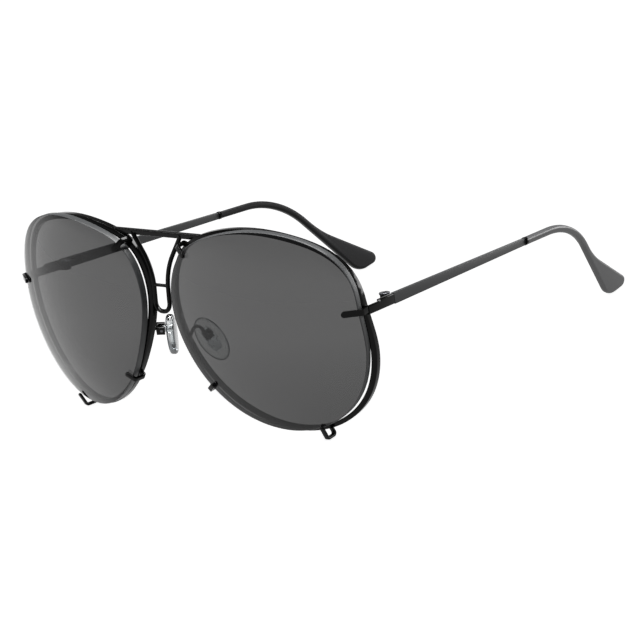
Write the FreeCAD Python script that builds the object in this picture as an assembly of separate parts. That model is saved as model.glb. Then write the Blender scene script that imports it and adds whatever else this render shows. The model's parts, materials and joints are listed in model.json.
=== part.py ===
"""Oversized sunglasses: two lenses clipped in front of wire rims, flat brow bar,
wire bridge loop, hinged flat temples with plastic tips, and rocking nose pads.

Millimetres. X runs across the face (+X is the wearer's left), Y runs back from the
lenses along the temples, Z is up from the surface that the open glasses rest on.
"""
import FreeCAD
import Part
import math
import os

from FreeCAD import Placement, Rotation, Vector

os.makedirs("parts", exist_ok=True)

# Lens, in the boxing system: outline shares are of half the box, from its centre.
LENS_WIDTH = 66.0
LENS_HEIGHT = 59.9
LENS_THICKNESS = 1.8
LENS_BASE_RADIUS = 80.0
BRIDGE_WIDTH = 13.0
WRAP_ANGLE = 10.0
LENS_OUTLINE_SHARES = (
    (0.978, 0.3), (0.8, 0.72), (0.41, 0.94), (-0.015, 1.0), (-0.44, 0.935), (-0.84, 0.72),
    (-1.0, 0.3), (-0.91, -0.17), (-0.685, -0.57), (-0.34, -0.87), (0.075, -1.0), (0.495, -0.92),
    (0.83, -0.625), (0.988, -0.185),
)

# Wire rim behind each lens: longer than the lens along one diagonal, shorter along the other
RIM_WIDTH = 1.5
RIM_DEPTH = 1.5
RIM_INSET = 0.15
RIM_DROP = 0.35
RIM_STRETCH = 1.0
RIM_STRETCH_ANGLE = 144.0
SEAT_GAP = 0.3

# Claws that hook round the lens edge
CLAW_THICKNESS = 0.8
CLAW_WIDTH = 1.5
CLAW_BEND = 0.7
CLAW_GAP = 0.25
UPPER_PRONG_ANGLE = 138.0
UPPER_PRONG_REACH = 2.0
UPPER_PRONG_GRIP = 2.1
LOWER_PRONG_ANGLE = 217.0
LOWER_PRONG_REACH = 1.4
LOWER_PRONG_GRIP = 2.0
HOOK_ANGLE = 294.0
HOOK_REACH = 3.8
HOOK_GRIP = 0.5
END_CLAW_RISE = 6.0
END_CLAW_REACH = 1.3
END_CLAW_GRIP = 4.4
END_CLAW_WIDTH = 1.7

# Brow bar, bridge loop and its crossbar
BAR_JOIN_ANGLE = 127.5
BAR_HEIGHT = 1.8
BAR_DEPTH = 1.3
BAR_SETBACK = 0.25
BAR_ROUNDING = 0.4
LOOP_WIRE = 1.35
LOOP_TILT = 8.4
LOOP_PRONG_GAP = 3.0
LOOP_GAP = 5.9
LOOP_KNEE_DROP = 10.6
LOOP_DROP = 22.9
LOOP_KNEE_RADIUS = 18.0
LOOP_FOOT_RADIUS = 2.6
CROSSBAR_WIRE = 1.0
CROSSBAR_DROP = 15.2

# End piece and hinge
END_LENGTH = 11.4
END_HEIGHT = 3.1
END_ROUNDING = 0.4
NECK_LENGTH = 5.2
NECK_DROP = 0.6
SEAM_GAP = 0.2
KNUCKLE_RADIUS = 1.4
KNUCKLE_GAP = 0.05
HINGE_HEIGHT = 2.4
LEAF_THICKNESS = 0.7
LEAF_LENGTH = 5.5
TURN_CLEARANCE = 0.12
SCREW_DIAMETER = 1.2
SCREW_FIT = 0.04
SCREW_HEAD_DIAMETER = 3.2
SCREW_HEAD_HEIGHT = 0.45

# Temple bar, tip sleeve and collar
TEMPLE_YAW = 5.2
TEMPLE_PITCH = 4.47
TEMPLE_LENGTH = 63.2
TEMPLE_THICKNESS = 1.2
TEMPLE_HEIGHT = 3.2
TEMPLE_END_HEIGHT = 2.0
CORE_DIAMETER = 1.1
CORE_FIT = 0.03
CORE_END_GAP = 14.0
TIP_RUN = 23.3
TIP_LENGTH = 43.9
TIP_BEND = 51.8
TIP_LEAN = 15.3
TIP_BEND_RADIUS = 26.0
TIP_HEIGHT = 2.2
TIP_THICKNESS = 2.2
TIP_ROUNDING = 0.85
WAIST_PLACE = 19.4
WAIST_RADIUS = 30.0
PADDLE_WIDTH = 10.5
PADDLE_SLANT = 5.2
PADDLE_TOP_RADIUS = 2.0
PADDLE_FOOT_RADIUS = 5.9
COLLAR_LENGTH = 0.8
COLLAR_DIAMETER = 2.5

# Nose pads
PAD_SPACING = 17.0
PAD_SETBACK = 12.0
PAD_RISE = 26.0
PAD_LENGTH = 14.5
PAD_WIDTH = 7.6
PAD_THICKNESS = 2.4
PAD_ROUNDING = 0.9
PAD_END_SHARE = 0.8
PAD_SPLAY = 35.0
PAD_FLARE = 20.0
PAD_TILT = 15.0
PAD_CORE_LENGTH = 8.0
PAD_CORE_WIDTH = 3.6
PAD_CORE_THICKNESS = 0.7
PAD_CORE_DEPTH = 0.5
PAD_LUG_RISE = 2.4
LUG_THICKNESS = 1.0
LUG_RADIUS = 0.95
LUG_GAP = 0.1
BOX_WALL = 0.7
BOX_LENGTH = 2.8
BOX_DEPTH = 2.5
BOX_STANDOFF = 0.6
BOX_FLOOR = 0.5
PAD_SCREW_DIAMETER = 0.9
PAD_SCREW_FIT = 0.03
PAD_SCREW_HEAD = 1.5
PAD_SCREW_HEAD_HEIGHT = 0.35
ARM_WIRE = 1.0
ARM_ANGLE = 187.0
ARM_BEND = 1.4
ARM_LOOP_RISE = 4.5
ARM_LEAD = 2.2

# Cuts run past what they cut by this much.
OVERRUN = 5.0

ORIGIN = Vector(0, 0, 0)
ACROSS = Vector(1, 0, 0)
BACK = Vector(0, 1, 0)
UP = Vector(0, 0, 1)


def corner_arc(before, corner, after, radius):
    """Arc of the given radius tangent to both runs that meet at a corner."""
    back_run = (before - corner).normalize()
    on_run = (after - corner).normalize()
    half_turn = (math.pi - back_run.getAngle(on_run)) / 2
    tangent = radius * math.tan(half_turn)
    inward = (back_run + on_run).normalize()
    middle = corner + inward * (radius / math.cos(half_turn) - radius)
    return Part.Arc(corner + back_run * tangent, middle, corner + on_run * tangent)


def rounded_run(points, radii):
    """Open wire of straight runs whose inner corners are tangent arcs."""
    edges = []
    start = points[0]
    for place, radius in enumerate(radii, start=1):
        arc = corner_arc(points[place - 1], points[place], points[place + 1], radius)
        edges.append(Part.LineSegment(start, arc.StartPoint).toShape())
        edges.append(arc.toShape())
        start = arc.EndPoint
    edges.append(Part.LineSegment(start, points[-1]).toShape())
    return Part.Wire(edges)


def rounded_loop(points, radii):
    """Closed wire through the points; a corner of radius zero stays sharp."""
    edges = []
    ends = []
    for place, radius in enumerate(radii):
        corner = points[place]
        if radius == 0:
            ends.append((corner, corner, None))
            continue
        arc = corner_arc(points[place - 1], corner, points[(place + 1) % len(points)], radius)
        ends.append((arc.StartPoint, arc.EndPoint, arc))
    for place, (enter, leave, arc) in enumerate(ends):
        if arc is not None:
            edges.append(arc.toShape())
        edges.append(Part.LineSegment(leave, ends[(place + 1) % len(ends)][0]).toShape())
    return Part.Wire(edges)


def swept(path, section):
    """Solid made by carrying a flat section along a path of straight runs and arcs."""
    runs = []
    for edge in path.OrderedEdges:
        start = edge.valueAt(edge.FirstParameter)
        face = section(start, edge.tangentAt(edge.FirstParameter))
        if isinstance(edge.Curve, Part.Line):
            runs.append(face.extrude(edge.valueAt(edge.LastParameter) - start))
        else:
            turn = math.degrees(edge.LastParameter - edge.FirstParameter)
            runs.append(face.revolve(edge.Curve.Center, edge.Curve.Axis, turn))
    return runs[0].multiFuse(runs[1:]).removeSplitter()


def round_wire(path, diameter):
    """Round wire along a path."""
    def section(start, heading):
        return Part.Face(Part.Wire(Part.Circle(start, heading, diameter / 2).toShape()))

    return swept(path, section)


def flat_strip(path, face_normal, width, thickness):
    """Flat strip along a path; its width lies along face_normal."""
    def section(start, heading):
        side = face_normal * (width / 2)
        rise = heading.cross(face_normal).normalize() * (thickness / 2)
        corners = [start + side + rise, start - side + rise, start - side - rise, start + side - rise]
        return Part.Face(Part.makePolygon(corners + corners[:1]))

    return swept(path, section)


def block(low, high):
    """Box between two opposite corners."""
    size = high - low
    return Part.makeBox(size.x, size.y, size.z, low)


def peg(centre, axis, diameter, length):
    """Round peg centred on a point."""
    return Part.makeCylinder(diameter / 2, length, centre - axis * (length / 2), axis)


def main_solid(shape):
    """The largest solid that a cut leaves."""
    return max(shape.Solids, key=lambda solid: solid.Volume)


def mirrored(shape):
    """The wearer's right-hand copy of a left-hand piece."""
    return shape.mirror(ORIGIN, ACROSS)


def save_pair(name, shape):
    """Write the left piece and its mirror image."""
    shape.exportStep("parts/%s_left.step" % name)
    mirrored(shape).exportStep("parts/%s_right.step" % name)


# The lens frame: u across to the temple (local X), depth behind the lens vertex (local Y), v up (local Z).

def outline_curve(growth=None):
    """Closed smooth curve through the lens outline, or through it moved outward by growth of each angle."""
    places = []
    for across_share, up_share in LENS_OUTLINE_SHARES:
        place = Vector(across_share * LENS_WIDTH / 2, 0, up_share * LENS_HEIGHT / 2)
        if growth is not None:
            heading = Vector(place).normalize()
            place = place + heading * growth(math.atan2(place.z, place.x)) - UP * RIM_DROP
        places.append(place)
    curve = Part.BSplineCurve()
    curve.interpolate(places, PeriodicFlag=True)
    return curve


def outline_prism(growth=None):
    """The outline carried straight back through the whole depth of lens and rim."""
    face = Part.Face(Part.Wire(outline_curve(growth).toShape()))
    face.translate(-BACK * OVERRUN)
    return face.extrude(BACK * (LENS_BASE_RADIUS / 2))


def rim_growth(angle):
    """How far outside the lens outline the rim's centreline lies, in a direction from the box centre."""
    return RIM_STRETCH * math.cos(2 * (angle - math.radians(RIM_STRETCH_ANGLE))) - RIM_INSET


def ball(inset):
    """Ball concentric with the lens front, smaller by inset."""
    return Part.makeSphere(LENS_BASE_RADIUS - inset, BACK * LENS_BASE_RADIUS)


def depth_at(place, inset):
    """Depth of the sphere that lies inset behind the lens front, over a (u, v) place."""
    radius = LENS_BASE_RADIUS - inset
    return LENS_BASE_RADIUS - math.sqrt(radius ** 2 - place.x ** 2 - place.z ** 2)


def towards(angle):
    """Unit direction in the lens plane."""
    return Vector(math.cos(math.radians(angle)), 0, math.sin(math.radians(angle)))


def meeting(curve, start, heading):
    """First place where a straight line from start crosses a closed curve."""
    line = Part.LineSegment(start, start + heading * (LENS_WIDTH + LENS_HEIGHT))
    crossings = curve.toShape().distToShape(line.toShape())[1]
    return min((pair[0] for pair in crossings), key=start.distanceToPoint)


LENS_EDGE = outline_curve()
RIM_LINE = outline_curve(rim_growth)
RIM_CENTRE_INSET = LENS_THICKNESS + SEAT_GAP + RIM_DEPTH / 2
HOOK_EDGE = meeting(LENS_EDGE, ORIGIN, towards(HOOK_ANGLE))
LENS_RISE = HOOK_REACH + CLAW_THICKNESS / 2 - HOOK_EDGE.z
NASAL_SAG = depth_at(ACROSS * (LENS_WIDTH / 2), 0)
WRAP = math.radians(WRAP_ANGLE)
LENS_CENTRE_X = BRIDGE_WIDTH / 2 + LENS_WIDTH / 2 * math.cos(WRAP) + NASAL_SAG * math.sin(WRAP)
LENS_FRAME = Placement(Vector(LENS_CENTRE_X, 0, LENS_RISE), Rotation(UP, WRAP_ANGLE))


def rim_place(angle):
    """Point of the rim centreline, in the object frame, in a direction from the box centre."""
    place = meeting(RIM_LINE, ORIGIN, towards(angle))
    return LENS_FRAME.multVec(place + BACK * depth_at(place, RIM_CENTRE_INSET))


def lens():
    """Moulded lens: a spherical shell trimmed to the outline."""
    shell = outline_prism().common(ball(0)).cut(ball(LENS_THICKNESS))
    return main_solid(shell).transformed(LENS_FRAME.toMatrix())


def rim():
    """Closed rim wire of square section that follows the back of the lens."""
    front_inset = LENS_THICKNESS + SEAT_GAP
    ring = outline_prism(lambda angle: rim_growth(angle) + RIM_WIDTH / 2).common(ball(front_inset))
    ring = ring.cut(ball(front_inset + RIM_DEPTH))
    ring = ring.cut(outline_prism(lambda angle: rim_growth(angle) - RIM_WIDTH / 2))
    return main_solid(ring).transformed(LENS_FRAME.toMatrix())


def claw(edge, heading, reach, grip, width):
    """Strip from the rim, out past the lens edge, forward and back over the lens front to a round end."""
    lift = CLAW_GAP + CLAW_THICKNESS / 2
    outer = edge + heading * reach
    root = meeting(RIM_LINE, outer, -heading)
    tip = edge - heading * (grip - width / 2)
    front = outer + BACK * (depth_at(outer, 0) - lift)
    end = tip + BACK * (depth_at(tip, 0) - lift)
    path = rounded_run(
        [
            root + BACK * depth_at(root, RIM_CENTRE_INSET),
            outer + BACK * depth_at(outer, RIM_CENTRE_INSET),
            front,
            end,
        ],
        [CLAW_BEND, CLAW_BEND],
    )
    across = heading.cross(BACK)
    strip = flat_strip(path, across, width, CLAW_THICKNESS)
    round_end = peg(end, (end - front).cross(across).normalize(), width, CLAW_THICKNESS)
    return strip.fuse(round_end).removeSplitter().transformed(LENS_FRAME.toMatrix())


def brow_bar(rims):
    """Straight flat bar between the two rims."""
    end = rim_place(BAR_JOIN_ANGLE) + BACK * BAR_SETBACK
    half = Vector(0, BAR_DEPTH / 2, BAR_HEIGHT / 2)
    bar = block(Vector(-end.x, end.y, end.z) - half, end + half)
    bar = bar.makeFillet(BAR_ROUNDING, [edge for edge in bar.Edges if edge.Length > end.x])
    return main_solid(bar.cut(rims[0]).cut(rims[1]))


LOOP_FRAME = Placement(rim_place(BAR_JOIN_ANGLE).scale(0, 1, 1), Rotation(ACROSS, -LOOP_TILT))
PRONG_EDGE = meeting(LENS_EDGE, ORIGIN, towards(UPPER_PRONG_ANGLE))
PRONG_OUTER = LENS_FRAME.multVec(PRONG_EDGE + towards(UPPER_PRONG_ANGLE) * UPPER_PRONG_REACH)


def bridge_loop(bar):
    """Bent wire: two legs that run down from the bar, close in and join in a U."""
    half_gap = ACROSS * (LOOP_GAP / 2)
    knee = UP * -LOOP_KNEE_DROP
    foot = UP * -LOOP_DROP
    top = ACROSS * (PRONG_OUTER.x - LOOP_PRONG_GAP)
    points = [top, half_gap + knee, half_gap + foot, foot - half_gap, knee - half_gap, -top]
    radii = [LOOP_KNEE_RADIUS, LOOP_FOOT_RADIUS, LOOP_FOOT_RADIUS, LOOP_KNEE_RADIUS]
    wire = round_wire(rounded_run(points, radii), LOOP_WIRE)
    return main_solid(wire.transformed(LOOP_FRAME.toMatrix()).cut(bar))


def bridge_crossbar(loop):
    """Short round tie between the legs of the loop."""
    tie = peg(UP * -CROSSBAR_DROP, ACROSS, CROSSBAR_WIRE, LOOP_GAP)
    return main_solid(tie.transformed(LOOP_FRAME.toMatrix()).cut(loop))


# The temple frame: local Y runs along the temple from the hinge seam, local Z along the hinge axis.

END_EDGE = meeting(LENS_EDGE, UP * END_CLAW_RISE, ACROSS)
END_ROOT = END_EDGE + ACROSS * END_CLAW_REACH
END_ROOT_DEPTH = depth_at(END_ROOT, LENS_THICKNESS)
TEMPLE_TURN = Rotation(UP, TEMPLE_YAW) * Rotation(ACROSS, -TEMPLE_PITCH)
SEAM = LENS_FRAME.multVec(END_ROOT + BACK * END_ROOT_DEPTH) + TEMPLE_TURN.multVec(BACK * END_LENGTH)
TEMPLE_FRAME = Placement(SEAM, TEMPLE_TURN)
HINGE_INSET = TEMPLE_THICKNESS / 2 + LEAF_THICKNESS + TURN_CLEARANCE + KNUCKLE_RADIUS
HINGE_AXIS = ACROSS * -HINGE_INSET


def end_piece(rim_left):
    """Bar from the lens edge back to the hinge seam, lower at its neck, with the claw on the lens."""
    grip = claw(END_EDGE, ACROSS, END_CLAW_REACH, END_CLAW_GRIP, END_CLAW_WIDTH)
    half = END_HEIGHT / 2
    side = -TEMPLE_THICKNESS / 2
    neck_end = NECK_LENGTH - END_LENGTH
    corners = [
        Vector(side, -END_LENGTH, -half),
        Vector(side, -SEAM_GAP / 2, -half),
        Vector(side, -SEAM_GAP / 2, half),
        Vector(side, neck_end + NECK_DROP, half),
        Vector(side, neck_end, half - NECK_DROP),
        Vector(side, -END_LENGTH, half - NECK_DROP),
    ]
    bar = Part.Face(Part.makePolygon(corners + corners[:1])).extrude(ACROSS * TEMPLE_THICKNESS)
    long_edges = [edge for edge in bar.Edges if edge.Length > END_HEIGHT]
    bar = bar.makeFillet(END_ROUNDING, long_edges).transformed(TEMPLE_FRAME.toMatrix())
    return main_solid(bar.fuse(grip).cut(rim_left))


def knuckle(low, high):
    """One barrel of the hinge between two heights on the axis."""
    return Part.makeCylinder(KNUCKLE_RADIUS, high - low, HINGE_AXIS + UP * low)


def leaf_web(low, high, near, far):
    """Plate on the inner face of the bar, from near to far along the temple."""
    face = -TEMPLE_THICKNESS / 2
    return block(Vector(face - LEAF_THICKNESS, near, low), Vector(face, far, high))


def leaf_arm(low, high, reach):
    """Arm that ties a barrel to its plate."""
    face = -TEMPLE_THICKNESS / 2
    low_corner = Vector(HINGE_AXIS.x, min(0, reach), low)
    high_corner = Vector(face, max(0, reach), high)
    return block(low_corner, high_corner)


KNUCKLE_HEIGHT = (HINGE_HEIGHT - 2 * KNUCKLE_GAP) / 3
HINGE_LOW = -HINGE_HEIGHT / 2
MIDDLE_LOW = HINGE_LOW + KNUCKLE_HEIGHT + KNUCKLE_GAP
MIDDLE_HIGH = MIDDLE_LOW + KNUCKLE_HEIGHT
ARM_REACH = KNUCKLE_RADIUS + TURN_CLEARANCE
SCREW_BORE = SCREW_DIAMETER + 2 * SCREW_FIT


def front_hinge_leaf():
    """Two outer barrels on a plate fixed to the end piece."""
    plate_end = -SEAM_GAP / 2 - ARM_REACH
    leaf = leaf_web(HINGE_LOW, -HINGE_LOW, -LEAF_LENGTH, plate_end)
    for low, high in ((HINGE_LOW, MIDDLE_LOW - KNUCKLE_GAP), (MIDDLE_HIGH + KNUCKLE_GAP, -HINGE_LOW)):
        leaf = leaf.fuse(knuckle(low, high)).fuse(leaf_arm(low, high, -ARM_REACH - SEAM_GAP / 2))
    bore = peg(HINGE_AXIS, UP, SCREW_BORE, HINGE_HEIGHT + OVERRUN)
    recess = block(
        Vector(-TEMPLE_THICKNESS / 2 - TURN_CLEARANCE, -SEAM_GAP / 2, HINGE_LOW),
        Vector(OVERRUN, OVERRUN, -HINGE_LOW),
    )
    return main_solid(leaf.cut(bore).cut(recess)).transformed(TEMPLE_FRAME.toMatrix())


def temple_hinge_leaf():
    """Middle barrel on a plate fixed to the temple bar."""
    plate_start = SEAM_GAP / 2 + ARM_REACH
    leaf = leaf_web(HINGE_LOW, -HINGE_LOW, plate_start, LEAF_LENGTH + ARM_REACH)
    leaf = leaf.fuse(knuckle(MIDDLE_LOW, MIDDLE_HIGH))
    leaf = leaf.fuse(leaf_arm(MIDDLE_LOW, MIDDLE_HIGH, plate_start))
    bore = peg(HINGE_AXIS, UP, SCREW_BORE, HINGE_HEIGHT + OVERRUN)
    return main_solid(leaf.cut(bore)).transformed(TEMPLE_FRAME.toMatrix())


def hinge_screw():
    """Screw with a flat round head on top of the hinge."""
    shank = Part.makeCylinder(SCREW_DIAMETER / 2, HINGE_HEIGHT, HINGE_AXIS + UP * HINGE_LOW)
    head = Part.makeCylinder(SCREW_HEAD_DIAMETER / 2, SCREW_HEAD_HEIGHT, HINGE_AXIS - UP * HINGE_LOW)
    return shank.fuse(head).removeSplitter().transformed(TEMPLE_FRAME.toMatrix())


TIP_TURN = math.radians(TIP_BEND)
TIP_CORNER = Vector(0, TIP_RUN, 0)
TIP_ALONG = Vector(0, math.cos(TIP_TURN), -math.sin(TIP_TURN))
TIP_UNDER = Vector(0, -math.sin(TIP_TURN), -math.cos(TIP_TURN))
TIP_FRAME = Placement(BACK * TEMPLE_LENGTH, Rotation(BACK, TIP_LEAN))


def core_wire(diameter):
    """Round wire inside the tip, along its straight run, bend and paddle."""
    path = rounded_run(
        [ORIGIN, TIP_CORNER, TIP_CORNER + TIP_ALONG * (TIP_LENGTH - CORE_END_GAP)],
        [TIP_BEND_RADIUS],
    )
    return round_wire(path, diameter).transformed(TIP_FRAME.toMatrix())


def temple_bar():
    """Flat tapered bar whose end runs on as the core wire of the tip."""
    half = TEMPLE_HEIGHT / 2
    end_half = TEMPLE_END_HEIGHT / 2
    start = SEAM_GAP / 2
    side = -TEMPLE_THICKNESS / 2
    corners = [
        Vector(side, start, half),
        Vector(side, TEMPLE_LENGTH, end_half),
        Vector(side, TEMPLE_LENGTH, -end_half),
        Vector(side, start, -half),
    ]
    bar = Part.Face(Part.makePolygon(corners + corners[:1])).extrude(ACROSS * TEMPLE_THICKNESS)
    return main_solid(bar.fuse(core_wire(CORE_DIAMETER))).transformed(TEMPLE_FRAME.toMatrix())


def temple_tip():
    """Plastic sleeve: a slim run, a bend, and a waist from which its back flares to a paddle."""
    half = TIP_HEIGHT / 2
    mitre = half * math.tan(TIP_TURN / 2)
    waist = TIP_CORNER + TIP_ALONG * WAIST_PLACE
    end = TIP_CORNER + TIP_ALONG * TIP_LENGTH
    corners = [
        (UP * half, 0),
        (TIP_CORNER + BACK * mitre + UP * half, TIP_BEND_RADIUS + half),
        (waist - TIP_UNDER * half, WAIST_RADIUS),
        (end + TIP_UNDER * (half - PADDLE_WIDTH), PADDLE_TOP_RADIUS),
        (end - TIP_ALONG * PADDLE_SLANT + TIP_UNDER * half, PADDLE_FOOT_RADIUS),
        (TIP_CORNER - BACK * mitre - UP * half, TIP_BEND_RADIUS - half),
        (UP * -half, 0),
    ]
    points, radii = zip(*corners)
    face = Part.Face(rounded_loop(points, radii))
    face.translate(ACROSS * (-TIP_THICKNESS / 2))
    sleeve = face.extrude(ACROSS * TIP_THICKNESS)
    rims = [
        edge for edge in sleeve.Edges
        if abs(edge.CenterOfMass.x) > TIP_THICKNESS / 2 - TIP_ROUNDING / 2 and edge.CenterOfMass.y > half
    ]
    sleeve = sleeve.makeFillet(TIP_ROUNDING, rims).transformed(TIP_FRAME.toMatrix())
    sleeve = sleeve.cut(core_wire(CORE_DIAMETER + 2 * CORE_FIT))
    return main_solid(sleeve).transformed(TEMPLE_FRAME.toMatrix())


def tip_collar(bar):
    """Small ring on the bar where the plastic tip begins."""
    ring = peg(BACK * (TEMPLE_LENGTH - COLLAR_LENGTH / 2), BACK, COLLAR_DIAMETER, COLLAR_LENGTH)
    return main_solid(ring.transformed(TEMPLE_FRAME.toMatrix()).cut(bar))


# The pad frame: local X points out of the pad towards its box, local Z up the pad, local Y along its screw.
# The box frame is the same, moved up the pad to the lug.

PAD_TURN = Rotation(ACROSS, PAD_TILT) * Rotation(BACK, -PAD_FLARE) * Rotation(UP, -PAD_SPLAY)
PAD_FRAME = Placement(Vector(PAD_SPACING / 2, PAD_SETBACK, PAD_RISE), PAD_TURN)
BOX_FRAME = PAD_FRAME.multiply(Placement(UP * PAD_LUG_RISE, Rotation()))
LUG_LENGTH = BOX_STANDOFF + BOX_DEPTH - BOX_FLOOR - LUG_GAP - LUG_RADIUS
LUG_AXIS = ACROSS * (PAD_THICKNESS / 2 + LUG_LENGTH)
SLOT_WIDTH = LUG_THICKNESS + 2 * LUG_GAP
BOX_WIDTH = SLOT_WIDTH + 2 * BOX_WALL


def oval(length, width, thickness, start):
    """Oval plate of four tangent arcs in the pad plane, from start outwards."""
    end_radius = width * PAD_END_SHARE / 2
    reach = length / 2 - end_radius
    side_radius = (reach ** 2 + (width / 2) ** 2 - end_radius ** 2) / (width - 2 * end_radius)
    lean = math.atan2(reach, side_radius - width / 2)
    join = UP * (reach + end_radius * math.sin(lean)) + BACK * (end_radius * math.cos(lean))
    across = UP * join.z - BACK * join.y
    arcs = [
        Part.Arc(join, UP * (length / 2), across),
        Part.Arc(across, BACK * (-width / 2), -join),
        Part.Arc(-join, UP * (-length / 2), -across),
        Part.Arc(-across, BACK * (width / 2), join),
    ]
    face = Part.Face(Part.Wire([arc.toShape() for arc in arcs]))
    return face.translated(ACROSS * start).extrude(ACROSS * thickness)


def pad_core():
    """Stiff plate inside the pad, with the drilled lug that the box holds."""
    plate = oval(PAD_CORE_LENGTH, PAD_CORE_WIDTH, PAD_CORE_THICKNESS, -PAD_CORE_DEPTH)
    plate = plate.transformed(PAD_FRAME.toMatrix())
    neck = block(
        Vector(-PAD_CORE_DEPTH, -LUG_THICKNESS / 2, -LUG_RADIUS),
        Vector(LUG_AXIS.x, LUG_THICKNESS / 2, LUG_RADIUS),
    )
    eye = peg(LUG_AXIS, BACK, 2 * LUG_RADIUS, LUG_THICKNESS)
    bore = peg(LUG_AXIS, BACK, PAD_SCREW_DIAMETER + 2 * PAD_SCREW_FIT, LUG_THICKNESS + OVERRUN)
    lug = neck.fuse(eye).cut(bore).transformed(BOX_FRAME.toMatrix())
    return main_solid(plate.fuse(lug))


def nose_pad(core):
    """Soft clear oval pad moulded round its core."""
    pad = oval(PAD_LENGTH, PAD_WIDTH, PAD_THICKNESS, -PAD_THICKNESS / 2)
    pad = pad.makeFillet(PAD_ROUNDING, [edge for edge in pad.Edges if edge.Length > PAD_THICKNESS])
    return main_solid(pad.transformed(PAD_FRAME.toMatrix()).cut(core))


def pad_box():
    """Open metal box, slotted for the lug and drilled for its screw."""
    front = PAD_THICKNESS / 2 + BOX_STANDOFF
    shell = block(
        Vector(front, -BOX_WIDTH / 2, -BOX_LENGTH / 2),
        Vector(front + BOX_DEPTH, BOX_WIDTH / 2, BOX_LENGTH / 2),
    )
    slot = block(
        Vector(front - OVERRUN, -SLOT_WIDTH / 2, -BOX_LENGTH),
        Vector(front + BOX_DEPTH - BOX_FLOOR, SLOT_WIDTH / 2, BOX_LENGTH),
    )
    bore = peg(LUG_AXIS, BACK, PAD_SCREW_DIAMETER + 2 * PAD_SCREW_FIT, BOX_WIDTH + OVERRUN)
    return main_solid(shell.cut(slot).cut(bore)).transformed(BOX_FRAME.toMatrix())


def pad_screw():
    """Small screw through the box and the lug."""
    shank = peg(LUG_AXIS, BACK, PAD_SCREW_DIAMETER, BOX_WIDTH)
    head_start = LUG_AXIS + BACK * (BOX_WIDTH / 2)
    head = Part.makeCylinder(PAD_SCREW_HEAD / 2, PAD_SCREW_HEAD_HEIGHT, head_start, BACK)
    return shank.fuse(head).removeSplitter().transformed(BOX_FRAME.toMatrix())


def pad_arm(rim_left, box):
    """Gooseneck wire from the rim, up and over, into the back of the box."""
    root = rim_place(ARM_ANGLE)
    box_back = PAD_THICKNESS / 2 + BOX_STANDOFF + BOX_DEPTH
    seat = BOX_FRAME.multVec(ACROSS * (box_back - BOX_FLOOR / 2))
    lead = BOX_FRAME.multVec(ACROSS * (box_back + ARM_LEAD))
    crest = (root + lead) / 2 + UP * ARM_LOOP_RISE
    wire = round_wire(rounded_run([root, crest, lead, seat], [ARM_BEND, ARM_BEND]), ARM_WIRE)
    return main_solid(wire.cut(rim_left).cut(box))


def build():
    """Make every piece and write its file."""
    rim_left = rim()
    rims = [rim_left, mirrored(rim_left)]
    bar = brow_bar(rims)
    loop = bridge_loop(bar)
    bar.exportStep("parts/brow_bar.step")
    loop.exportStep("parts/bridge_loop.step")
    bridge_crossbar(loop).exportStep("parts/bridge_crossbar.step")
    save_pair("lens", lens())
    save_pair("rim", rim_left)
    prongs = (
        ("upper_prong", UPPER_PRONG_ANGLE, UPPER_PRONG_REACH, UPPER_PRONG_GRIP),
        ("lower_prong", LOWER_PRONG_ANGLE, LOWER_PRONG_REACH, LOWER_PRONG_GRIP),
    )
    for name, angle, reach, grip in prongs:
        edge = meeting(LENS_EDGE, ORIGIN, towards(angle))
        prong = claw(edge, towards(angle), reach, grip, CLAW_WIDTH)
        save_pair(name, main_solid(prong.cut(rim_left).cut(bar)))
    hook = claw(HOOK_EDGE, -UP, HOOK_REACH, HOOK_GRIP, CLAW_WIDTH)
    save_pair("lens_hook", main_solid(hook.cut(rim_left)))
    save_pair("end_piece", end_piece(rim_left))
    save_pair("front_hinge_leaf", front_hinge_leaf())
    save_pair("hinge_screw", hinge_screw())
    temple = temple_bar()
    save_pair("temple_bar", temple)
    save_pair("temple_hinge_leaf", temple_hinge_leaf())
    save_pair("temple_tip", temple_tip())
    save_pair("tip_collar", tip_collar(temple))
    core = pad_core()
    box = pad_box()
    save_pair("pad_core", core)
    save_pair("nose_pad", nose_pad(core))
    save_pair("pad_box", box)
    save_pair("pad_screw", pad_screw())
    save_pair("pad_arm", pad_arm(rim_left, box))


build()
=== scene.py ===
"""Oversized sunglasses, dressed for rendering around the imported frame. Metres, +Z up."""

import json
import math

import bmesh
import bpy
from mathutils import Matrix, Vector


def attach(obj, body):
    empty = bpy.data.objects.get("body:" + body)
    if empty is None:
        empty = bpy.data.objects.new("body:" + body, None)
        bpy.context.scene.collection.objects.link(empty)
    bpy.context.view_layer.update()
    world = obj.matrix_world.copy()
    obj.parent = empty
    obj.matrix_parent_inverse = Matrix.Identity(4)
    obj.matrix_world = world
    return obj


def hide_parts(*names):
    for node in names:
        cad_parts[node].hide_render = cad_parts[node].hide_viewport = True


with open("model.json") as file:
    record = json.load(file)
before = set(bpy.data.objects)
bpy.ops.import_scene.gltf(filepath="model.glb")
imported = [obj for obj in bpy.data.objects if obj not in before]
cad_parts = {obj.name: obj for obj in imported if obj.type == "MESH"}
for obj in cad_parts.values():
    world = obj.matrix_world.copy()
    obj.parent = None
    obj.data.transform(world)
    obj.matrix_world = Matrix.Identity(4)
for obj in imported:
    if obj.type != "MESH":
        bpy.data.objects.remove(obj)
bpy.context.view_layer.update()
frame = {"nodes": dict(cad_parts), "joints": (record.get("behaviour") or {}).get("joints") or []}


# Wire rims
# A closed ring of drawn nickel-silver wire stands behind each lens, rolled to the lens curve
# and soldered shut. Drawing leaves its edges soft, and the whole front is sprayed black.

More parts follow.
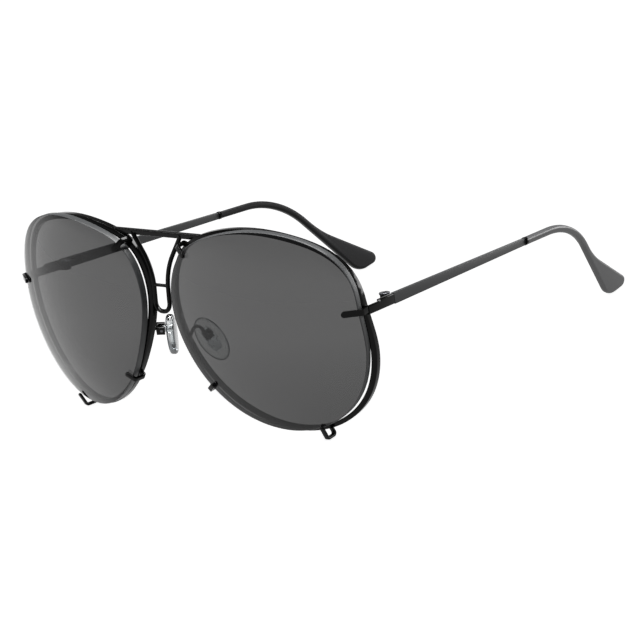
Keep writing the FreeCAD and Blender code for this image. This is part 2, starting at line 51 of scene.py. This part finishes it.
MM = 0.001
SIDES = ("left", "right")
RIM_EDGE_ROUNDING = 0.42 * MM
WELD_DISTANCE = 0.002 * MM
FLAT_ANGLE = math.radians(0.3)
QUAD_BEND = math.radians(10)
QUAD_SKEW = math.radians(60)
SHARP_ANGLE = math.radians(35)
CREASE_ANGLE = math.radians(38)


def linear(code):
    """Linear colour with full alpha from an sRGB hex code."""
    parts = [int(code[place:place + 2], 16) / 255 for place in (1, 3, 5)]
    return [c / 12.92 if c <= 0.04045 else ((c + 0.055) / 1.055) ** 2.4 for c in parts] + [1.0]


def add(tree, kind, settings, links=()):
    """A shader node with its settings, and links from other nodes' sockets to its inputs."""
    made = tree.nodes.new("ShaderNode" + kind)
    for name, value in settings:
        if name in made.inputs:
            made.inputs[name].default_value = value
        else:
            setattr(made, name, value)
    for name, source in links:
        tree.links.new(source, made.inputs[name])
    return made


def new_material(name):
    """Empty material, its node tree and its Principled shader."""
    made = bpy.data.materials.new(name)
    made.use_nodes = True
    return made, made.node_tree, made.node_tree.nodes["Principled BSDF"]


def sprayed(name, colour, shine, roughness, spread, grain, relief):
    """Paint or moulded skin: an even colour whose gloss and level waver at the size of its grain."""
    made, tree, shader = new_material(name)
    shader.inputs["Base Color"].default_value = linear(colour)
    shader.inputs["Specular IOR Level"].default_value = shine
    place = add(tree, "TexCoord", [])
    peel = add(tree, "TexNoise", [("Scale", 1 / grain), ("Detail", 3.0), ("Roughness", 0.55)],
               [("Vector", place.outputs["Object"])])
    gloss = add(tree, "MapRange", [("To Min", roughness - spread), ("To Max", roughness + spread)],
                [("Value", peel.outputs["Fac"])])
    bump = add(tree, "Bump", [("Strength", 0.25), ("Distance", relief)], [("Height", peel.outputs["Fac"])])
    tree.links.new(gloss.outputs["Result"], shader.inputs["Roughness"])
    tree.links.new(bump.outputs["Normal"], shader.inputs["Normal"])
    return made


def round_edges(shape, edges, rounding, segments, clamp=False):
    """Bevel edges to a round."""
    bmesh.ops.bevel(shape, geom=edges, offset=rounding, offset_type="OFFSET", affect="EDGES",
                    segments=segments, profile=0.5, material=-1, clamp_overlap=clamp)


def finished_copy(node, name, rounding=0.0, segments=3):
    """Smooth copy of a CAD solid, with its sharp outer edges rounded."""
    shape = bmesh.new()
    shape.from_mesh(frame["nodes"][node].data)
    bmesh.ops.remove_doubles(shape, verts=shape.verts, dist=WELD_DISTANCE)
    bmesh.ops.dissolve_limit(shape, angle_limit=FLAT_ANGLE, verts=shape.verts, edges=shape.edges)
    bmesh.ops.join_triangles(shape, faces=shape.faces, angle_face_threshold=QUAD_BEND,
                             angle_shape_threshold=QUAD_SKEW)
    if rounding:
        corners = [e for e in shape.edges if e.is_convex and e.calc_face_angle(0) > SHARP_ANGLE]
        round_edges(shape, corners, rounding, segments, clamp=True)
    return piece_of(shape, name)


def piece_of(shape, name):
    """Object made from a bmesh, smooth but for its remaining sharp edges."""
    for face in shape.faces:
        face.smooth = True
    for edge in shape.edges:
        edge.smooth = edge.calc_face_angle(0) < CREASE_ANGLE
    mesh = bpy.data.meshes.new(name)
    shape.to_mesh(mesh)
    shape.free()
    piece = bpy.data.objects.new(name, mesh)
    bpy.context.scene.collection.objects.link(piece)
    return piece


def fit(piece, materials, body, slot, *nodes):
    """Give a piece its finish, its body and the CAD nodes that it stands for."""
    for finish in materials:
        piece.data.materials.append(finish)
    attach(piece, body)
    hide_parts(*nodes)


# Gloss black lacquer over metal: deep black with a clear highlight and a faint orange peel.
black_lacquer = sprayed("Gloss black lacquer on nickel silver", "#030303", 0.1, 0.11, 0.03, 0.5 * MM, 0.004 * MM)
for side in SIDES:
    fit(finished_copy("rim_" + side, "rim_wire_" + side, RIM_EDGE_ROUNDING, 4), [black_lacquer],
        "front", "black_metal", "rim_" + side)


# Brow bar, bridge loop and crossbar
# A straight flat bar is soldered between the rims. A bent wire hangs from it in a keyhole
# shape, and a short round tie joins its legs; all carry the same black lacquer.

for node, name in (("brow_bar", "brow_strip"), ("bridge_loop", "bridge_wire"), ("bridge_crossbar", "bridge_tie")):
    fit(finished_copy(node, name), [black_lacquer], "front", "black_metal", node)


# Claws
# Flat strips soldered to the rim reach out past the lens edge, bend forward and fold back
# over the lens front. They are cut from strip, so their edges are only lightly broken.

CLAW_EDGE_ROUNDING = 0.3 * MM
CLAWS = (("upper_prong_", "upper_claw_"), ("lower_prong_", "lower_claw_"), ("lens_hook_", "foot_claw_"))
for side in SIDES:
    for node, name in CLAWS:
        fit(finished_copy(node + side, name + side, CLAW_EDGE_ROUNDING), [black_lacquer],
            "front", "black_metal", node + side)


# End pieces and hinges
# The end piece is a stamped bar with its own claw, soldered to the rim. Three barrels form
# the hinge, two on the end piece and one on the temple, turning on a slotted screw.

END_EDGE_ROUNDING = 0.28 * MM
LEAF_EDGE_ROUNDING = 0.1 * MM
for side in SIDES:
    fit(finished_copy("end_piece_" + side, "end_bar_" + side, END_EDGE_ROUNDING), [black_lacquer],
        "front", "black_metal", "end_piece_" + side)
    fit(finished_copy("front_hinge_leaf_" + side, "front_leaf_" + side, LEAF_EDGE_ROUNDING), [black_lacquer],
        "front", "black_metal", "front_hinge_leaf_" + side)
    fit(finished_copy("temple_hinge_leaf_" + side, "temple_leaf_" + side, LEAF_EDGE_ROUNDING), [black_lacquer],
        "temple_" + side, "black_metal", "temple_hinge_leaf_" + side)

# Blackened steel turned on a lathe: dark metal with a soft ring of light round the head.
STEEL_GRAIN = 0.2 * MM
blackened_steel, steel_tree, steel = new_material("Blackened turned steel")
steel.inputs["Base Color"].default_value = linear("#55565a")
steel.inputs["Metallic"].default_value = 1.0
steel_place = add(steel_tree, "TexCoord", [])
steel_noise = add(steel_tree, "TexNoise", [("Scale", 1 / STEEL_GRAIN), ("Detail", 2.0)],
                  [("Vector", steel_place.outputs["Object"])])
steel_gloss = add(steel_tree, "MapRange", [("To Min", 0.28), ("To Max", 0.42)],
                  [("Value", steel_noise.outputs["Fac"])])
steel_tree.links.new(steel_gloss.outputs["Result"], steel.inputs["Roughness"])

SLOT_WIDTH_SHARE = 0.2
SLOT_DEPTH_SHARE = 0.5
SLOT_TAPER_SHARE = 0.02
HEAD_EDGE_SHARE = 0.3


def slotted_screw(name, centre, axis, shank, length, head, rise):
    """Screw on an axis: round shank about its centre, and a flat head with a broken edge and a driver slot."""
    slot = head * SLOT_WIDTH_SHARE
    top = length / 2 + rise
    shape = bmesh.new()
    bmesh.ops.create_cone(shape, cap_ends=True, segments=40, radius1=head / 2, radius2=head / 2, depth=rise,
                          matrix=Matrix.Translation((0, 0, top - rise / 2)))
    edge = [e for e in shape.edges if min(v.co.z for v in e.verts) > top - rise / 4]
    round_edges(shape, edge, rise * HEAD_EDGE_SHARE, 3)
    for across in (-slot / 2, slot / 2):
        bmesh.ops.bisect_plane(shape, geom=shape.verts[:] + shape.edges[:] + shape.faces[:],
                               plane_co=(across, 0, 0), plane_no=(1, 0, 0))
    trough = []
    for face in shape.faces:
        middle = face.calc_center_median()
        if face.normal.z > 0.99 and abs(middle.x) < slot / 2 and middle.z > top - rise / 4:
            trough.append(face)
    bmesh.ops.inset_region(shape, faces=trough, thickness=slot * SLOT_TAPER_SHARE, depth=-rise * SLOT_DEPTH_SHARE)
    bmesh.ops.create_cone(shape, cap_ends=True, segments=32, radius1=shank / 2, radius2=shank / 2, depth=length)
    turn = axis.to_track_quat("Z", "Y").to_matrix().to_4x4()
    shape.transform(Matrix.Translation(centre) @ turn)
    return piece_of(shape, name)


def joint_line(name, side):
    """Place and upward or backward direction of a pin, from the joint that turns on it."""
    joint = next(j for j in frame["joints"] if j["name"] == name % side)
    return Vector(joint["pos_m"]), Vector(joint["axis"]) * (1 if side == "left" else -1)


# Shank diameter and length, head diameter and height.
HINGE_SCREW = (1.2 * MM, 2.4 * MM, 3.2 * MM, 0.45 * MM)
for side in SIDES:
    centre, axis = joint_line("temple_%s_fold", side)
    fit(slotted_screw("hinge_pin_" + side, centre, axis, *HINGE_SCREW), [blackened_steel],
        "front", "screw_steel", "hinge_screw_" + side)


# Temples
# A flat strip tapers back from the hinge; its end is drawn down to the wire inside the tip.
# The plastic tip is pushed on over the wire, up to a small black ring.

TEMPLE_EDGE_ROUNDING = 0.28 * MM
COLLAR_EDGE_ROUNDING = 0.15 * MM
# Tip tones, inner then outer: a painted shade on the side against the head, a painted sheen on the side that faces
# out.
TIP_SHADE_INNER, TIP_SHEEN_OUTER = "#0b0b0c", "#29292a"
TIP_SHADE_INNER_SHINE, TIP_SHEEN_OUTER_SHINE = 0.12, 0.55
TIP_BLEND = 30 * MM


def blend_painted_tones(made, factor, first, second):
    """Give a material a base colour that goes from one tone to another with a factor; here that paints light and
    shade into the colour.
    """
    tree = made.node_tree
    tone = add(tree, "Mix", [("data_type", "RGBA")], [(0, factor)])
    tone.inputs[6].default_value = linear(first)
    tone.inputs[7].default_value = linear(second)
    tree.links.new(tone.outputs[2], tree.nodes["Principled BSDF"].inputs["Base Color"])


# Cellulose acetate or a like plastic, tumbled satin: a broad soft sheen with a very fine grain.
# The side of a tip that faces out is painted greyer and glossier than the side against the head: a painted sheen
# outside and a painted shade inside.
satin_plastic_painted_sheen = sprayed("Satin black moulded plastic, painted side sheen", TIP_SHADE_INNER, TIP_SHADE_INNER_SHINE, 0.42, 0.05, 0.3 * MM, 0.006 * MM)
tip_tree = satin_plastic_painted_sheen.node_tree
tip_place = add(tip_tree, "TexCoord", [])
tip_facing = add(tip_tree, "VectorMath", [("operation", "MULTIPLY")],
                 [(0, tip_place.outputs["Object"]), (1, tip_place.outputs["Normal"])])
tip_side = add(tip_tree, "SeparateXYZ", [], [("Vector", tip_facing.outputs["Vector"])])
tip_sheen_side = add(tip_tree, "MapRange", [("From Min", -TIP_BLEND), ("From Max", TIP_BLEND)],
                [("Value", tip_side.outputs["X"])])
tip_painted_shine = add(tip_tree, "MapRange", [("To Min", TIP_SHADE_INNER_SHINE), ("To Max", TIP_SHEEN_OUTER_SHINE)],
                [("Value", tip_sheen_side.outputs["Result"])])
tip_tree.links.new(tip_painted_shine.outputs["Result"], tip_tree.nodes["Principled BSDF"].inputs["Specular IOR Level"])
blend_painted_tones(satin_plastic_painted_sheen, tip_sheen_side.outputs["Result"], TIP_SHADE_INNER, TIP_SHEEN_OUTER)
# The strip is sprayed too, but flatted: a charcoal with a soft even sheen.
satin_lacquer = sprayed("Satin black lacquer on nickel silver", "#161718", 0.35, 0.40, 0.05, 0.4 * MM, 0.004 * MM)
for side in SIDES:
    body = "temple_" + side
    fit(finished_copy("temple_bar_" + side, "temple_strip_" + side, TEMPLE_EDGE_ROUNDING), [satin_lacquer],
        body, "black_metal", "temple_bar_" + side)
    fit(finished_copy("tip_collar_" + side, "tip_ring_" + side, COLLAR_EDGE_ROUNDING), [black_lacquer],
        body, "black_metal", "tip_collar_" + side)
    fit(finished_copy("temple_tip_" + side, "ear_tip_" + side), [satin_plastic_painted_sheen],
        body, "tip_plastic", "temple_tip_" + side)


# Nose pads
# A gooseneck wire from the rim carries a small slotted box. A screw through the box holds the
# lug of the stiff core, round which the clear silicone pad is moulded.

BOX_EDGE_ROUNDING = 0.14 * MM
PAD_SCREW = (0.9 * MM, 2.6 * MM, 1.5 * MM, 0.35 * MM)
PAD_PLACE = Vector((8.5, 12.0, 26.0)) * MM
PAD_SIZE = (2.4 * MM, 7.6 * MM, 14.5 * MM)
PAD_EDGE = 0.95 * MM
PAD_TURN = (Matrix.Rotation(math.radians(15), 4, "X") @ Matrix.Rotation(math.radians(-20), 4, "Y")
            @ Matrix.Rotation(math.radians(-35), 4, "Z"))
# The silicone's colour, and the painted shade of its dark outline.
PAD_BODY, PAD_EDGE_PAINTED_SHADE = "#eef0f0", "#303336"
MOULD_RIPPLE = 1.5 * MM


def clear_plastic(name, colour, alpha, clear, shine, roughness, ior):
    """See-through moulding whose gloss wavers a little."""
    made, tree, shader = new_material(name)
    shader.inputs["Base Color"].default_value = linear(colour)
    shader.inputs["Alpha"].default_value = alpha
    shader.inputs["IOR"].default_value = ior
    shader.inputs["Transmission Weight"].default_value = clear
    shader.inputs["Specular IOR Level"].default_value = shine
    place = add(tree, "TexCoord", [])
    cloud = add(tree, "TexNoise", [("Scale", 1 / MOULD_RIPPLE), ("Detail", 2.0)],
                [("Vector", place.outputs["Object"])])
    gloss = add(tree, "MapRange", [("To Min", roughness * 0.8), ("To Max", roughness * 1.2)],
                [("Value", cloud.outputs["Fac"])])
    tree.links.new(gloss.outputs["Result"], shader.inputs["Roughness"])
    return made


def soft_pad(name, mirror):
    """Oval pad with a full round edge."""
    thick, wide, tall = PAD_SIZE
    shape = bmesh.new()
    bmesh.ops.create_cone(shape, cap_ends=True, segments=64, radius1=0.5, radius2=0.5, depth=1.0,
                          matrix=Matrix.Rotation(math.radians(90), 4, "Y"))
    bmesh.ops.scale(shape, verts=shape.verts, vec=(thick, wide, tall))
    rims = [e for e in shape.edges if abs(sum(v.co.x for v in e.verts)) > thick / 2]
    round_edges(shape, rims, PAD_EDGE, 6)
    shape.transform(Matrix.Translation(PAD_PLACE) @ PAD_TURN)
    if mirror:
        bmesh.ops.scale(shape, verts=shape.verts, vec=(-1, 1, 1))
        bmesh.ops.reverse_faces(shape, faces=shape.faces)
    return piece_of(shape, name)


# Clear silicone: nearly white face on, with a painted dark outline, a painted shade for the light lost along the
# edge.
silicone = clear_plastic("Clear silicone", PAD_BODY, 1.0, 1.0, 0.5, 0.08, 1.41)
silicone_turn = add(silicone.node_tree, "LayerWeight", [("Blend", 0.5)])
silicone_edge_shade_mask = add(silicone.node_tree, "MapRange", [("From Min", 0.05), ("From Max", 0.3)],
                    [("Value", silicone_turn.outputs["Facing"])])
blend_painted_tones(silicone, silicone_edge_shade_mask.outputs["Result"], PAD_BODY, PAD_EDGE_PAINTED_SHADE)
# Clear polycarbonate: stiffer and glossier than the silicone round it.
polycarbonate = clear_plastic("Clear polycarbonate", "#e4e8ea", 1.0, 1.0, 0.5, 0.05, 1.585)
for side in SIDES:
    centre, axis = joint_line("nose_pad_%s_rock", side)
    fit(finished_copy("pad_arm_" + side, "pad_wire_" + side), [black_lacquer],
        "front", "black_metal", "pad_arm_" + side)
    fit(finished_copy("pad_box_" + side, "pad_cup_" + side, BOX_EDGE_ROUNDING), [black_lacquer],
        "front", "black_metal", "pad_box_" + side)
    fit(slotted_screw("pad_pin_" + side, centre, axis, *PAD_SCREW), [blackened_steel],
        "front", "screw_steel", "pad_screw_" + side)
    fit(finished_copy("pad_core_" + side, "pad_plate_" + side), [polycarbonate],
        "nose_pad_" + side, "pad_core_plastic", "pad_core_" + side)
    fit(soft_pad("soft_pad_" + side, side == "right"), [silicone],
        "nose_pad_" + side, "pad_silicone", "nose_pad_" + side)


# Lenses
# Each lens is a moulded shell of tinted polyamide, spherical on both faces and cut to its
# outline on an edging machine, which leaves a ground wall with a small ground bevel.

LENS_RADIUS = 80.0 * MM
LENS_THICKNESS = 1.8 * MM
LENS_BEVEL = 0.22 * MM
LENS_CENTRE = Vector((40.2356, 0.0, 33.0193)) * MM
LENS_WRAP = math.radians(10)
LENS_RINGS = 10
# Size of a normal's backward part: below the first on the wall, above the second on the faces.
WALL_TURN = 0.3
FACE_TURN = 0.88


def lens_depth(place, radius):
    """How far back a sphere about the lens's own centre lies at a place."""
    return LENS_RADIUS - math.sqrt(radius ** 2 - place.x ** 2 - place.z ** 2)


def lens_shell(side):
    """Lens rebuilt from the edge wall of its CAD solid, with even rings of faces on both spheres."""
    sign = 1 if side == "left" else -1
    seat = (Matrix.Translation((sign * LENS_CENTRE.x, LENS_CENTRE.y, LENS_CENTRE.z))
            @ Matrix.Rotation(sign * LENS_WRAP, 4, "Z"))
    shape = bmesh.new()
    shape.from_mesh(frame["nodes"]["lens_" + side].data)
    shape.transform(seat.inverted())
    bmesh.ops.remove_doubles(shape, verts=shape.verts, dist=WELD_DISTANCE)
    shape.normal_update()
    bmesh.ops.delete(shape, geom=[f for f in shape.faces if abs(f.normal.y) > WALL_TURN], context="FACES")
    for radius in (LENS_RADIUS, LENS_RADIUS - LENS_THICKNESS):
        ring = [e for e in shape.edges if e.is_boundary
                and all(abs(v.co.y - lens_depth(v.co, radius)) < LENS_THICKNESS / 4 for v in e.verts)]
        for step in range(LENS_RINGS - 1, 0, -1):
            made = bmesh.ops.extrude_edge_only(shape, edges=ring)["geom"]
            for vert in [v for v in made if isinstance(v, bmesh.types.BMVert)]:
                vert.co.x *= step / (step + 1)
                vert.co.z *= step / (step + 1)
                vert.co.y = lens_depth(vert.co, radius)
            ring = [e for e in made if isinstance(e, bmesh.types.BMEdge) and e.is_boundary]
        cap = bmesh.ops.edgeloop_fill(shape, edges=ring)["faces"]
        for vert in bmesh.ops.poke(shape, faces=cap)["verts"]:
            vert.co.y = lens_depth(vert.co, radius)
    bmesh.ops.recalc_face_normals(shape, faces=shape.faces)
    round_edges(shape, [e for e in shape.edges if e.calc_face_angle(0) > SHARP_ANGLE], LENS_BEVEL, 3)
    shape.normal_update()
    for face in shape.faces:
        face.material_index = 1 if abs(face.normal.y) < FACE_TURN else 0
    shape.transform(seat)
    return piece_of(shape, "sun_lens_" + side)


# Tinted polyamide, polished: it hides about seven tenths of what lies behind and mirrors the room;
# toward the foot it is drawn a little denser, a painted shade on the lower lens.
TINT_FOOT_SHADE, TINT_TOP = 0.755, 0.705
PAINTED_SHADE_FOOT_HEIGHT, TINT_TOP_HEIGHT = 5 * MM, 32 * MM
sun_tint = clear_plastic("Grey tinted polyamide", "#0a0a0b", TINT_TOP, 0.0, 0.25, 0.04, 1.53)
tint_tree = sun_tint.node_tree
tint_place = add(tint_tree, "TexCoord", [])
tint_height = add(tint_tree, "SeparateXYZ", [], [("Vector", tint_place.outputs["Object"])])
# Alpha by height, rising toward the foot: painted shade on the lower part of the lens.
tint_with_painted_shade = add(tint_tree, "MapRange", [("From Min", PAINTED_SHADE_FOOT_HEIGHT), ("From Max", TINT_TOP_HEIGHT),
                                         ("To Min", TINT_FOOT_SHADE), ("To Max", TINT_TOP)],
                 [("Value", tint_height.outputs["Z"])])
tint_tree.links.new(tint_with_painted_shade.outputs["Result"], tint_tree.nodes["Principled BSDF"].inputs["Alpha"])
# The edged wall and bevel of the same plastic: ground, so dull, and opaque and dark: partly the plastic's own grey,
# partly a painted shade for the light lost along them.
ground_edge = clear_plastic("Ground lens edge", "#232425", 1.0, 0.0, 0.25, 0.45, 1.53)
for side in SIDES:
    fit(lens_shell(side), [sun_tint, ground_edge], "front", "lens_tint", "lens_" + side)


# Floor, light and camera
# A self-lit white floor among white walls, with softboxes above, behind and in front, and the
# camera where the photograph was taken from, tipped to the pose that the photograph shows.

# Matt white paper: bright and even, with a barely visible tooth.
FLOOR_REACH = 0.75
FLOOR_DROP = 0.05 * MM
PAPER_TOOTH = 1.0 * MM
paper, paper_tree, paper_shader = new_material("Matt white paper")
paper_shader.inputs["Base Color"].default_value = linear("#f6f6f6")
paper_shader.inputs["Specular IOR Level"].default_value = 0.0
paper_shader.inputs["Emission Color"].default_value = linear("#ffffff")
paper_shader.inputs["Emission Strength"].default_value = 0.88
paper_place = add(paper_tree, "TexCoord", [])
paper_noise = add(paper_tree, "TexNoise", [("Scale", 1 / PAPER_TOOTH)], [("Vector", paper_place.outputs["Object"])])
paper_gloss = add(paper_tree, "MapRange", [("To Min", 0.8), ("To Max", 0.9)],
                  [("Value", paper_noise.outputs["Fac"])])
paper_tree.links.new(paper_gloss.outputs["Result"], paper_shader.inputs["Roughness"])
floor_shape = bmesh.new()
bmesh.ops.create_grid(floor_shape, x_segments=1, y_segments=1, size=FLOOR_REACH,
                      matrix=Matrix.Translation((0, 0, -FLOOR_DROP)))
floor = piece_of(floor_shape, "paper_floor")
floor.data.materials.append(paper)

# White walls as bright as the floor, darker from just above the horizon.
WALL, ROOF = 1.12, 0.2
WALL_TOP, ROOF_FOOT = 0.05, 0.35
world = bpy.data.worlds.new("Pale studio")
world.use_nodes = True
world_tree = world.node_tree
world_place = add(world_tree, "TexCoord", [])
world_height = add(world_tree, "SeparateXYZ", [], [("Vector", world_place.outputs["Generated"])])
world_light = add(world_tree, "MapRange",
                  [("interpolation_type", "SMOOTHSTEP"), ("From Min", WALL_TOP), ("From Max", ROOF_FOOT),
                   ("To Min", WALL), ("To Max", ROOF)],
                  [("Value", world_height.outputs["Z"])])
world_tree.nodes["Background"].inputs["Color"].default_value = linear("#ffffff")
world_tree.links.new(world_light.outputs["Result"], world_tree.nodes["Background"].inputs["Strength"])
bpy.context.scene.world = world

# The paper is already white without the lamps, so it takes none of their light and shows no hard shadow.
unlit = bpy.data.collections.new("Not lit by the lamps")
unlit.objects.link(floor)
unlit.collection_objects[0].light_linking.link_state = "EXCLUDE"


def softbox(name, place, target, wide, tall, power):
    """Rectangular area lamp that faces a point and lights all but the floor."""
    lamp = bpy.data.lights.new(name, "AREA")
    lamp.shape = "RECTANGLE"
    lamp.size = wide
    lamp.size_y = tall
    lamp.energy = power
    made = bpy.data.objects.new(name, lamp)
    made.location = place
    made.rotation_euler = (Vector(target) - Vector(place)).to_track_quat("-Z", "Y").to_euler()
    made.light_linking.receiver_collection = unlit
    bpy.context.scene.collection.objects.link(made)


softbox("top softbox", (0.1, 0.25, 1.6), (0, 0.05, 0), 0.75, 1.5, 120)
softbox("back softbox", (0.5, 1.2, 0.2), (0, 0.05, 0.03), 0.5, 0.5, 10)
softbox("front softbox", (-0.9, -0.6, 1.2), (0, 0.05, 0.03), 0.6, 0.5, 24)

AZIMUTH, ELEVATION, ROLL = (math.radians(a) for a in (47.42, 17.01, -11.35))
AIM = Vector((0.0, 63.05, 12.65)) * MM
DISTANCE = 1100.17 * MM
SENSOR_WIDTH, FOCAL_LENGTH, VIEW_END = 36.0, 204.98, 100
back = Vector((math.sin(AZIMUTH) * math.cos(ELEVATION), -math.cos(AZIMUTH) * math.cos(ELEVATION),
               math.sin(ELEVATION)))
level = Vector((math.cos(AZIMUTH), math.sin(AZIMUTH), 0))
upright = back.cross(level)
across = level * math.cos(ROLL) + upright * math.sin(ROLL)
rise = upright * math.cos(ROLL) - level * math.sin(ROLL)
lens_data = bpy.data.cameras.new("Camera")
lens_data.sensor_width = SENSOR_WIDTH
lens_data.lens = FOCAL_LENGTH
lens_data.clip_end = VIEW_END
camera = bpy.data.objects.new("Camera", lens_data)
camera.matrix_world = Matrix.Translation(AIM + back * DISTANCE) @ Matrix((across, rise, back)).transposed().to_4x4()
bpy.context.scene.collection.objects.link(camera)
bpy.context.scene.camera = camera
bpy.context.scene.view_settings.view_transform = "Standard"
